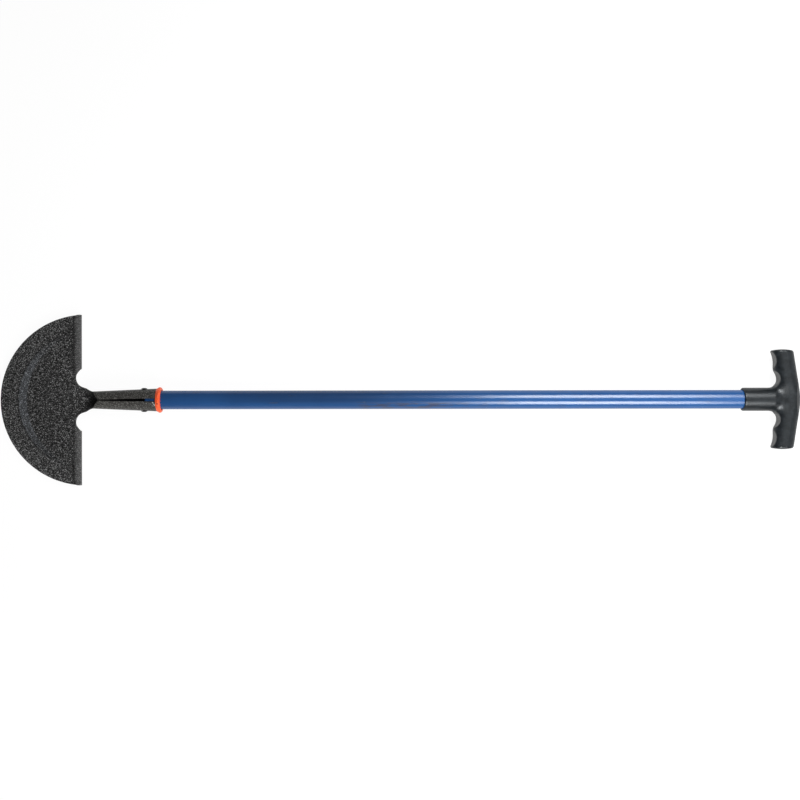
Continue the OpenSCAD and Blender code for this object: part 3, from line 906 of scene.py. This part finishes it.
def palm_drop(y):
    """How far the palm's outline has fallen back from its crown."""
    straight = PALM_R * math.sin(BAR_SWEEP)
    if y < straight:
        return PALM_R - math.sqrt(PALM_R**2 - y**2)
    return PALM_R * (1 - math.cos(BAR_SWEEP)) + (y - straight) * math.tan(BAR_SWEEP)


def finger_x(y):
    """Where the crossbar's finger side lies, y off the middle."""
    return PALM_X - palm_drop(y) - BAR_W / math.cos(BAR_SWEEP)


def grip_field(p):
    """Distance from the grip's surface, below zero inside the plastic."""
    x, y, z = p[..., 0], np.abs(p[..., 1]), p[..., 2]
    crown = x - (PALM_X - PALM_R)
    swept = np.arctan2(y, crown) > BAR_SWEEP
    out = np.where(swept, crown * math.cos(BAR_SWEEP) + y * math.sin(BAR_SWEEP), np.hypot(crown, y))
    off_middle = np.abs(out - (PALM_R - BAR_W / 2)) - (BAR_W - BAR_T) / 2
    bar = np.hypot(np.maximum(off_middle, 0), z) - BAR_T / 2
    end_x = PALM_X - palm_drop(BAR_L / 2) - BAR_W / 2
    end = np.sqrt((x - end_x) ** 2 + y**2 + z**2) - BAR_L / 2
    bar = soft_max(bar, end, BAR_EASE)
    for middle, radius, depth in (INNER_SCALLOP, OUTER_SCALLOP):
        scoop = np.hypot(x - (finger_x(middle) + depth - radius), y - middle) - radius
        bar = soft_max(bar, -scoop, SCALLOP_EASE)
    root_x = GRIP_X + FERRULE_L
    root_end = finger_x(0) + BAR_T / 3
    share = np.clip((x - root_x) / (root_end - root_x), 0, 1)
    half_t = FERRULE_R + (0.9 * BAR_T / 2 - FERRULE_R) * share**2 * (3 - 2 * share)
    squash = half_t / FERRULE_R
    barrel = (np.hypot(y, z / squash) - FERRULE_R) * squash
    barrel = soft_max(barrel, GRIP_X - x, MOUTH_EASE)
    barrel = np.maximum(barrel, x - (PALM_X - BAR_T / 2))
    body = soft_min(bar, barrel, 2 * ROOT_FILLET)
    bore = np.maximum(np.hypot(y, z) - (TUBE_R + TUBE_FIT), x - (TUBE_HIGH_X + TUBE_FIT))
    body = soft_max(body, -bore, MOUTH_EASE)
    sink = np.maximum(np.hypot(x - SCREW_X, y) - SCREW_HEAD_R - FASTENER_FIT, z + SCREW_SEAT)
    return soft_max(body, -sink, SINK_EASE)


def black_grip(material):
    """The moulded grip, ferrule and crossbar in one."""
    room = 2
    low = (GRIP_X - room, -BAR_L / 2 - room, -FERRULE_R - room)
    high = (PALM_X + room, BAR_L / 2 + room, FERRULE_R + room)
    points, faces = moulded(grip_field, low, high, GRIP_CELL)
    make_piece("black_grip", points, faces, "t_grip", material)


def dome_radius(rim, height):
    """Radius of the ball that a domed head is cut from."""
    return (rim**2 + height**2) / (2 * height)


def screw_field(p):
    """Distance from the screw: a domed head with a cross recess on a plain shank."""
    x, y, down = p[..., 0] - SCREW_X, p[..., 1], -p[..., 2] - SCREW_SEAT
    dome_r = dome_radius(SCREW_HEAD_R, SCREW_HEAD_H)
    radius = np.hypot(x, y)
    dome = np.sqrt(radius**2 + (down - SCREW_HEAD_H + dome_r) ** 2) - dome_r
    head = soft_max(dome, -down, SCREW_EASE)
    shank_ends = np.maximum(-down - SCREW_SHANK_L, down - SHANK_IN_HEAD)
    shank = np.maximum(radius - SCREW_SHANK_R, shank_ends)
    reach = RECESS_R - RECESS_LEAN * (SCREW_HEAD_H - down)
    across = np.minimum(
        np.maximum(np.abs(x) - RECESS_HALF_W, np.abs(y) - reach),
        np.maximum(np.abs(y) - RECESS_HALF_W, np.abs(x) - reach),
    )
    recess = np.maximum(across, SCREW_HEAD_H - RECESS_DEPTH - down)
    return soft_max(np.minimum(head, shank), -recess, RECESS_EASE)


def zinc_screw(material):
    """The screw that keeps the grip on the tube, from below."""
    room = 1
    half = SCREW_HEAD_R + room
    low = (SCREW_X - half, -half, -SCREW_SEAT - SCREW_HEAD_H - room)
    high = (SCREW_X + half, half, -SCREW_SEAT + SCREW_SHANK_L + room)
    points, faces = moulded(screw_field, low, high, SCREW_CELL)
    make_piece("zinc_screw", points, faces, "grip_screw", material)


# Rivets


def rivet_pieces(head_paint, steel):
    """Two blind rivets in the socket's sides, each with the end of its broken stem."""
    seat = socket_mid(RIVET_X) + SHEET / 2 + FASTENER_FIT
    dome_r = dome_radius(RIVET_HEAD_R, RIVET_HEAD_H)
    edge = math.degrees(math.asin(RIVET_HEAD_R / dome_r))
    hole = STEM_R + FASTENER_FIT
    lip = math.degrees(math.asin((hole + RIVET_LIP) / dome_r))
    dome = arc((seat + RIVET_HEAD_H - dome_r, 0), dome_r, edge, lip, 12)
    tube_bore = TUBE_R - TUBE_WALL
    shoulder = math.sqrt(tube_bore**2 - BULB_R**2) - 2 * FASTENER_FIT
    inside = shoulder - BULB_L
    shell = [(inside, hole), (inside, BULB_R - BULB_ROUND)]
    shell += arc((inside + BULB_ROUND, BULB_R - BULB_ROUND), BULB_ROUND, 165, 90, 6)
    shell += [(shoulder - 0.3, BULB_R), (shoulder, BULB_R - 0.1)]
    shell += [(tube_bore - FASTENER_FIT, RIVET_R), (seat, RIVET_R)]
    shell += [(seat, RIVET_HEAD_R - RIVET_EASE)] + dome
    shell += [(seat + RIVET_HEAD_H - LIP_DROP, hole)]
    top = seat + RIVET_HEAD_H - STEM_SINK
    ball = (inside - STEM_HEAD_ROUND, STEM_HEAD_R - STEM_HEAD_ROUND)
    stem = [(inside - STEM_HEAD_R, STEM_POINT)] + arc(ball, STEM_HEAD_ROUND, 170, 80, 6)
    stem += [(inside - 0.05, STEM_HEAD_R - 0.05), (inside, STEM_R)]
    stem += [(top - 0.3, STEM_R), (top - 0.08, STEM_R - 0.25)]
    stem += [(top, STEM_R - 0.6), (top - 0.12, STEM_POINT)]
    for name, profile, node, slot, material in (
        ("rivet_heads", shell, "socket_rivets", "rivet_paint", head_paint),
        ("rivet_stems", stem, "rivet_mandrels", "mandrel_steel", steel),
    ):
        points, faces = turned(profile, RIVET_STEPS, 1, (RIVET_X, 0, 0))
        other = points * (1, -1, 1)
        both = np.concatenate([points, other])
        mirrored = [tuple(i + len(points) for i in face[::-1]) for face in faces]
        make_piece(name, both, faces + mirrored, node, material)


# Studio


def floor():
    """A pale plane under the tool, with a glow of its own so that it shows as white."""
    mesh = bpy.data.meshes.new("floor")
    half = FLOOR_HALF
    corners = [(-half, -half, 0), (half, -half, 0), (half, half, 0), (-half, half, 0)]
    mesh.from_pydata(corners, [], [(0, 1, 2, 3)])
    finish = Finish("pale_floor")
    cloud = finish.noise(800, 2)
    colour = finish.mix(cloud, (0.07, 0.07, 0.07, 1), (0.09, 0.09, 0.09, 1))
    finish.surface(
        base_color=colour,
        roughness=0.9,
        specular_ior_level=0.0,
        emission_color=finish.mix(cloud, (0.98, 0.98, 0.98, 1), (1, 1, 1, 1)),
        emission_strength=FLOOR_GLOW,
    )
    mesh.materials.append(finish.material)
    piece = bpy.data.objects.new("floor", mesh)
    bpy.context.scene.collection.objects.link(piece)


def surround():
    """A dim even glow all round, which shows as the floor's own white past the floor's end."""
    world = bpy.data.worlds.new("studio")
    world.use_nodes = True
    nodes, links = world.node_tree.nodes, world.node_tree.links
    glow, backdrop = nodes["Background"], nodes.new("ShaderNodeBackground")
    for part, strength in ((glow, GLOW), (backdrop, BACKDROP)):
        part.inputs["Color"].default_value = (1, 1, 1, 1)
        part.inputs["Strength"].default_value = strength
    seen = nodes.new("ShaderNodeMixShader")
    links.new(nodes.new("ShaderNodeLightPath").outputs["Is Camera Ray"], seen.inputs[0])
    links.new(glow.outputs[0], seen.inputs[1])
    links.new(backdrop.outputs[0], seen.inputs[2])
    links.new(seen.outputs[0], nodes["World Output"].inputs["Surface"])
    bpy.context.scene.world = world


def softbox(name, place, target, width, length, power, beam=180):
    """An oblong lamp that faces target. Its width is the side that stands up."""
    light = bpy.data.lights.new(name, "AREA")
    light.shape = "RECTANGLE"
    light.size = length
    light.size_y = width
    light.energy = power
    light.spread = math.radians(beam)
    box = bpy.data.objects.new(name, light)
    box.location = place
    box.rotation_euler = (Vector(target) - Vector(place)).to_track_quat("-Z", "Y").to_euler()
    bpy.context.scene.collection.objects.link(box)
    return box


def studio():
    """The floor, the glow, two strips for the tube and the grip, and cards for their ends."""
    floor()
    surround()
    strip = {"length": 0.54, "beam": 80}
    softbox("strip_far", (0.50, 0.79, 1.05), (0.44, 0, 0), width=0.8, power=6.3, **strip)
    softbox("strip_near", (0.50, -0.95, 1.05), (0.44, 0, 0), width=0.85, power=7.5, **strip)
    softbox("card_end", (0.84, 0, 1.05), (0.45, 0, 0), width=0.2, length=0.6, power=0.9)
    softbox("card_palm", (1.35, 0, 0.5), (0.48, 0, 0), width=0.9, length=0.9, power=2.5)
    # Fills in the head's near side without showing in its gloss
    card = softbox("card_near", (-0.5, -1.0, 0.34), (-0.4, 0, 0), width=0.6, length=1.2, power=7.5)
    card.visible_glossy = False
    bpy.context.scene.view_settings.view_transform = "Standard"


def camera():
    """Straight above the tool, which fills the picture from the blade's tip to the palm."""
    lens = bpy.data.cameras.new("camera")
    lens.lens = 50
    lens.sensor_width = 36
    eye = bpy.data.objects.new("camera", lens)
    eye.location = (*EYE_SHIFT, AXIS + EYE_HEIGHT)
    eye.rotation_euler = (0, 0, EYE_ROLL)
    bpy.context.scene.collection.objects.link(eye)
    bpy.context.scene.camera = eye


head_pressing(hammer_black())
blue_tube(blue_enamel())
orange_ring(orange_plastic())
black_grip(black_plastic())
rivet_pieces(rivet_black(), bare_steel("stem_steel", (0.42, 0.43, 0.45, 1), 0.38))
zinc_screw(bare_steel("zinc_plate", (0.62, 0.64, 0.66, 1), 0.3))
studio()
camera()
